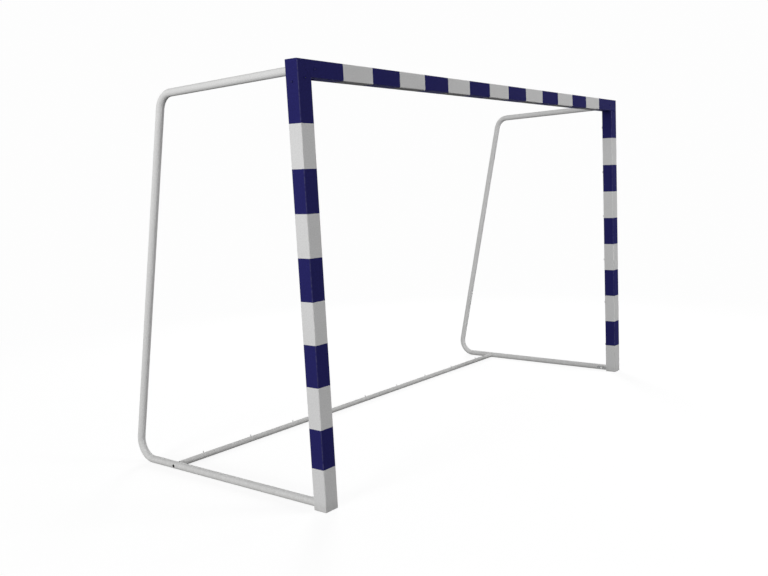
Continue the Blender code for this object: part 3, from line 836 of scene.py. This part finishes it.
def make_bar_plugs():
    """Turned plugs whose flanges show between the bar and the side frames."""
    outer = BAR_DIAMETER / 2
    spigot = outer - BAR_WALL - GAP
    hole = SCREW_HOLE / 2
    back = PLUG_FLANGE
    end = back + PLUG_LENGTH
    rings = [
        circle(outer - SAWN_EDGE, 0),
        circle(outer, SAWN_EDGE),
        circle(outer, back - SAWN_EDGE),
        circle(outer - SAWN_EDGE, back),
        circle(spigot, back),
        circle(spigot, end - SAWN_EDGE),
        circle(spigot - SAWN_EDGE, end),
        circle(hole, end),
        circle(hole, 0),
    ]
    mesh = mesh_of_rings("flanged_plug", rings, BRIGHT_ZINC, closed=True)
    for side, sign in SIDES.items():
        place = frame_at((sign * (POST_X - TUBE_RADIUS - GAP), BAR_Y, BAR_Z), (-sign, 0, 0))
        put(side + "_flanged_plug", mesh, place, [side + "_bar_plug"])


# Screws, bolts and lugs

def crown_place(node, direction):
    """Frame at a fastener's crown, with +Z along the way that it points."""
    low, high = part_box(node)
    direction = Vector(direction)
    middle = (low + high) / 2
    half = abs((high - low).dot(direction)) / 2
    return frame_at(middle - direction * half, direction)


def button_screw_mesh():
    """Domed head with a hexagon socket, crown at Z = 0."""
    radius = SCREW_HEAD / 2
    flat = radius * SCREW_FLAT_SHARE
    dome = []
    for step in range(SCREW_DOME_STEPS + 1):
        angle = step * math.pi / 2 / SCREW_DOME_STEPS
        across = flat + (radius - flat) * math.sin(angle)
        down = (SCREW_HEAD_HEIGHT - SCREW_HEAD_RIM) * (1 - math.cos(angle))
        dome.append(circle(across, down))
    rings = [
        hexagon(SCREW_SOCKET * SOCKET_POINT_SHARE, SCREW_SOCKET_DEPTH + SOCKET_POINT_DEPTH),
        hexagon(SCREW_SOCKET, SCREW_SOCKET_DEPTH),
        hexagon(SCREW_SOCKET, SAWN_EDGE),
        circle(SCREW_SOCKET / 2 / math.cos(math.pi / 6) + SAWN_EDGE, 0),
        *dome,
        circle(radius, SCREW_HEAD_HEIGHT),
        circle(SCREW_DIAMETER / 2, SCREW_HEAD_HEIGHT),
        circle(SCREW_DIAMETER / 2, SCREW_HEAD_HEIGHT + SCREW_SHANK - THREAD_CHAMFER),
        circle(SCREW_DIAMETER / 2 - THREAD_CHAMFER, SCREW_HEAD_HEIGHT + SCREW_SHANK),
    ]
    return mesh_of_rings("button_screw", rings, SCREW_PAINT, sharp=SCREW_SHARP_ANGLE)


def make_corner_screws():
    mesh = button_screw_mesh()
    for side, sign in SIDES.items():
        ways = {
            "post_front": (0, 1, 0),
            "post_side": (-sign, 0, 0),
            "crossbar_front": (0, 1, 0),
            "crossbar_under": (0, 0, 1),
        }
        for hole, direction in ways.items():
            node = side + "_" + hole + "_screw"
            place = crown_place(node, direction)
            put(side + "_" + hole + "_button_head", mesh, place, [node])


def hexagon_bolt_mesh(length):
    """Hexagon head with a chamfered crown at Z = 0, and a plain shank."""
    corner = BOLT_ACROSS / 2 / math.cos(math.pi / 6)
    rings = [circle(BOLT_FACE / 2, 0)]
    for step in range(BOLT_CROWN_STEPS + 1):
        down = step / BOLT_CROWN_STEPS
        limit = corner * (BOLT_CROWN_SHARE + (1 - BOLT_CROWN_SHARE) * down)
        rings.append(hexagon(BOLT_ACROSS, BOLT_CROWN_DROP * down, limit))
    rings += [
        hexagon(BOLT_ACROSS, BOLT_HEAD_HEIGHT - BOLT_FACE_HEIGHT - BOLT_FACE_SLOPE),
        circle(BOLT_FACE / 2, BOLT_HEAD_HEIGHT - BOLT_FACE_HEIGHT),
        circle(BOLT_FACE / 2, BOLT_HEAD_HEIGHT),
        circle(SCREW_DIAMETER / 2, BOLT_HEAD_HEIGHT),
        circle(SCREW_DIAMETER / 2, length - THREAD_CHAMFER),
        circle(SCREW_DIAMETER / 2 - THREAD_CHAMFER, length),
    ]
    return mesh_of_rings("hexagon_bolt", rings, BRIGHT_ZINC, sharp=BOLT_SHARP_ANGLE)


def washer_mesh(node):
    low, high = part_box(node)
    thickness = high.x - low.x
    outer = (high.z - low.z) / 2
    rings = [
        circle(outer - WASHER_EDGE, 0),
        circle(outer, WASHER_EDGE),
        circle(outer, thickness - WASHER_EDGE),
        circle(outer - WASHER_EDGE, thickness),
        circle(SCREW_HOLE / 2, thickness),
        circle(SCREW_HOLE / 2, 0),
    ]
    return mesh_of_rings("flat_washer", rings, BRIGHT_ZINC, closed=True)


def lug_mesh(node, bolt_node):
    """Flat plate with rounded rear corners and eased edges, drilled for its bolt."""
    low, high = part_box(node)
    half = (high.z - low.z) / 2
    middle_z = (high.z + low.z) / 2

    def outline(inset):
        corner = LUG_CORNER - inset
        points = [Vector((0, low.y + inset, middle_z - half + inset))]
        for turn, sign in ((-math.pi / 2, -1), (0, 1)):
            for step in range(LUG_CORNER_STEPS + 1):
                angle = turn + step * math.pi / 2 / LUG_CORNER_STEPS
                centre = Vector((0, high.y - LUG_CORNER, middle_z + sign * (half - LUG_CORNER)))
                points.append(centre + corner * Vector((0, math.cos(angle), math.sin(angle))))
        points.append(Vector((0, low.y + inset, middle_z + half - inset)))
        return points

    levels = [(low.x, LUG_EDGE), (low.x + LUG_EDGE, 0), (high.x - LUG_EDGE, 0), (high.x, LUG_EDGE)]
    rings = [[Vector((x, point.y, point.z)) for point in outline(inset)] for x, inset in levels]
    mesh = mesh_of_rings("lug_plate", rings, DULL_ZINC_PLATE)
    bolt_low, bolt_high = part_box(bolt_node)
    middle = (bolt_low + bolt_high) / 2
    start = Vector((low.x - LUG_EDGE, middle.y, middle.z))
    through = Vector((high.x - low.x + 2 * LUG_EDGE, 0, 0))
    return cut_holes(mesh, [(start, start + through, SCREW_HOLE)])


def lug_weld_mesh(node, sign):
    """Bead round the three open edges of a lug where it meets the back of the frame."""
    low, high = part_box(node)
    inner_x = low.x if sign > 0 else high.x
    outer_x = (high.x if sign > 0 else low.x) - sign * WELD_SIZE
    y = low.y + WELD_SEAT
    stops = [
        Vector((outer_x, y, low.z - WELD_SEAT)),
        Vector((inner_x - sign * WELD_SEAT, y, low.z - WELD_SEAT)),
        Vector((inner_x - sign * WELD_SEAT, y, high.z + WELD_SEAT)),
        Vector((outer_x, y, high.z + WELD_SEAT)),
    ]
    points = []
    for start, end in zip(stops, stops[1:]):
        steps = max(2, round((end - start).length / WELD_SPACING))
        points += [start.lerp(end, i / steps) for i in range(steps)]
    points.append(stops[-1])
    builder = bmesh.new()
    weld_bead(builder, points, WELD_SIZE)
    return new_mesh("lug_weld", builder, WHITE_PAINT, sharp=WELD_SHARP_ANGLE)


def make_lugs():
    bolt_low, bolt_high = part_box("right_upper_lug_bolt")
    bolt = hexagon_bolt_mesh(bolt_high.x - bolt_low.x)
    washer = washer_mesh("right_upper_lug_washer")
    for side, sign in SIDES.items():
        for level in ("upper", "lower"):
            name = side + "_" + level + "_lug"
            bolt_place = crown_place(name + "_bolt", (sign, 0, 0))
            washer_place = crown_place(name + "_washer", (sign, 0, 0))
            put(name + "_plate", lug_mesh(name, name + "_bolt"), None, [name])
            put(name + "_weld", lug_weld_mesh(name, sign))
            put(name + "_hexagon_bolt", bolt, bolt_place, [name + "_bolt"])
            put(name + "_flat_washer", washer, washer_place, [name + "_washer"])


def finish_hidden_solids():
    """The pieces inside the tubes keep their solids and get their own metal, by the first ending that
    fits their names."""
    endings = {
        "_corner_angle": BARE_STEEL,
        "_rivet_nut": BRIGHT_ZINC,
        "_nut": BARE_STEEL,
        "_bar_screw": OILED_BLACK,
        "_bar_washer": OILED_BLACK,
    }
    for name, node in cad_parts.items():
        for ending, material in endings.items():
            if name.endswith(ending):
                node.data.materials.clear()
                node.data.materials.append(material)
                break


# Surroundings

FLOOR_RADIUS = 40.0
FLOOR_SIDES = 96

# Near the goal the floor is seen as a pale glow plus a little of the light that falls on it, so that
# it shows the goal's shadow. Between these two radii it fades into the even white of the backdrop.
FLOOR_FADE = (2.6, 5.5)
FLOOR_SEEN = 0.25
FLOOR_GLOW = 0.845
BACKDROP = 0.985

# What the floor and the sky give to the goal as light
FLOOR_LIT = 0.05
SKY_LIGHT = 0.23

# Each lamp's place, the point it is aimed at, its diameter and its watts
LAMPS = {
    "left_softbox": ((-14.5, -0.9, 2.9), (0.0, 0.0, 16.8), 6.0, 1950.0),
    "front_softbox": ((3.7, -9.3, 3.1), (0.0, 0.0, 1.0), 4.0, 362.0),
    "right_softbox": ((13.0, -4.3, 3.5), (1.5, -0.8, 2.0), 3.0, 165.0),
    "top_softbox": ((0.0, 0.0, 14.0), (0.0, 0.0, 1.0), 6.0, 90.0),
    "back_softbox": ((7.5, 7.0, 4.4), (0.0, 0.0, 1.0), 4.0, 500.0),
}

# The camera stands about where the photograph was taken from: its place in metres, its turns in
# degrees, its lens in millimetres and its shift as a share of the picture's width
CAMERA_PLACE = (-4.1663, -3.5314, 1.5427)
CAMERA_HEADING = -56.944
CAMERA_PITCH = -7.787
CAMERA_ROLL = -1.770
CAMERA_LENS = 38.54
CAMERA_SHIFT = -0.1699
CAMERA_REACH = 200.0


def seen_directly(tree):
    """1 for what the camera, a mirror or a glass sees, and 0 for light that falls on things."""
    path = tree.nodes.new("ShaderNodeLightPath").outputs
    seen = maths(tree, "MAXIMUM", path["Is Camera Ray"], path["Is Glossy Ray"])
    return maths(tree, "MAXIMUM", seen, path["Is Transmission Ray"])


def make_floor():
    material = bpy.data.materials.new("studio floor")
    material.use_nodes = True
    tree = material.node_tree
    shader = tree.nodes["Principled BSDF"]
    seen = seen_directly(tree)
    place = tree.nodes.new("ShaderNodeTexCoord").outputs["Object"]
    away = add_node(tree, "ShaderNodeVectorMath", [(0, place)], operation="LENGTH").outputs["Value"]
    seen_shade = maths(tree, "MULTIPLY", seen, ramp(tree, away, *FLOOR_FADE, FLOOR_SEEN, 0.0))
    lit_shade = maths(tree, "MULTIPLY", maths(tree, "SUBTRACT", 1.0, seen), FLOOR_LIT)
    colour = grey(tree, maths(tree, "ADD", seen_shade, lit_shade))
    tree.links.new(colour, shader.inputs["Base Color"])
    shader.inputs["Roughness"].default_value = 1.0
    shader.inputs["Specular IOR Level"].default_value = 0.0
    glow = maths(tree, "MULTIPLY", seen, ramp(tree, away, *FLOOR_FADE, FLOOR_GLOW, BACKDROP))
    tree.links.new(grey(tree, glow), shader.inputs["Emission Color"])
    shader.inputs["Emission Strength"].default_value = 1.0
    builder = bmesh.new()
    builder.faces.new([builder.verts.new(point) for point in circle(FLOOR_RADIUS, 0, FLOOR_SIDES)])
    mesh = bpy.data.meshes.new("studio_floor")
    builder.to_mesh(mesh)
    builder.free()
    mesh.materials.append(material)
    floor = add_object("studio_floor", mesh)


def make_sky():
    world = bpy.data.worlds.new("studio")
    world.use_nodes = True
    tree = world.node_tree
    background = tree.nodes["Background"]
    background.inputs["Color"].default_value = (1.0, 1.0, 1.0, 1.0)
    strength = ramp(tree, seen_directly(tree), 0.0, 1.0, SKY_LIGHT, BACKDROP)
    tree.links.new(strength, background.inputs["Strength"])
    bpy.context.scene.world = world


def make_lamp(name, place, aim, size, power):
    lamp = bpy.data.lights.new(name, "AREA")
    lamp.shape = "DISK"
    lamp.size = size
    lamp.energy = power
    item = add_object(name, lamp)
    item.location = place
    item.rotation_euler = (Vector(aim) - Vector(place)).to_track_quat("-Z", "Y").to_euler()


def make_lamps():
    for name, (place, aim, size, power) in LAMPS.items():
        make_lamp(name, place, aim, size, power)


def make_camera():
    data = bpy.data.cameras.new("camera")
    data.lens = CAMERA_LENS
    data.shift_x = CAMERA_SHIFT
    data.clip_end = CAMERA_REACH
    camera = add_object("camera", data)
    turn = Matrix.Rotation(math.radians(CAMERA_HEADING), 4, "Z")
    tilt = Matrix.Rotation(math.radians(90 + CAMERA_PITCH), 4, "X")
    roll = Matrix.Rotation(math.radians(CAMERA_ROLL), 4, "Z")
    camera.matrix_world = Matrix.Translation(CAMERA_PLACE) @ turn @ tilt @ roll
    bpy.context.scene.camera = camera


make_posts()
make_crossbar()
make_foot_plates()
make_hooks()
make_side_frames()
make_rear_bar()
make_bar_plugs()
make_corner_screws()
make_lugs()
finish_hidden_solids()
make_floor()
make_sky()
make_lamps()
make_camera()
bpy.context.scene.view_settings.view_transform = "Standard"
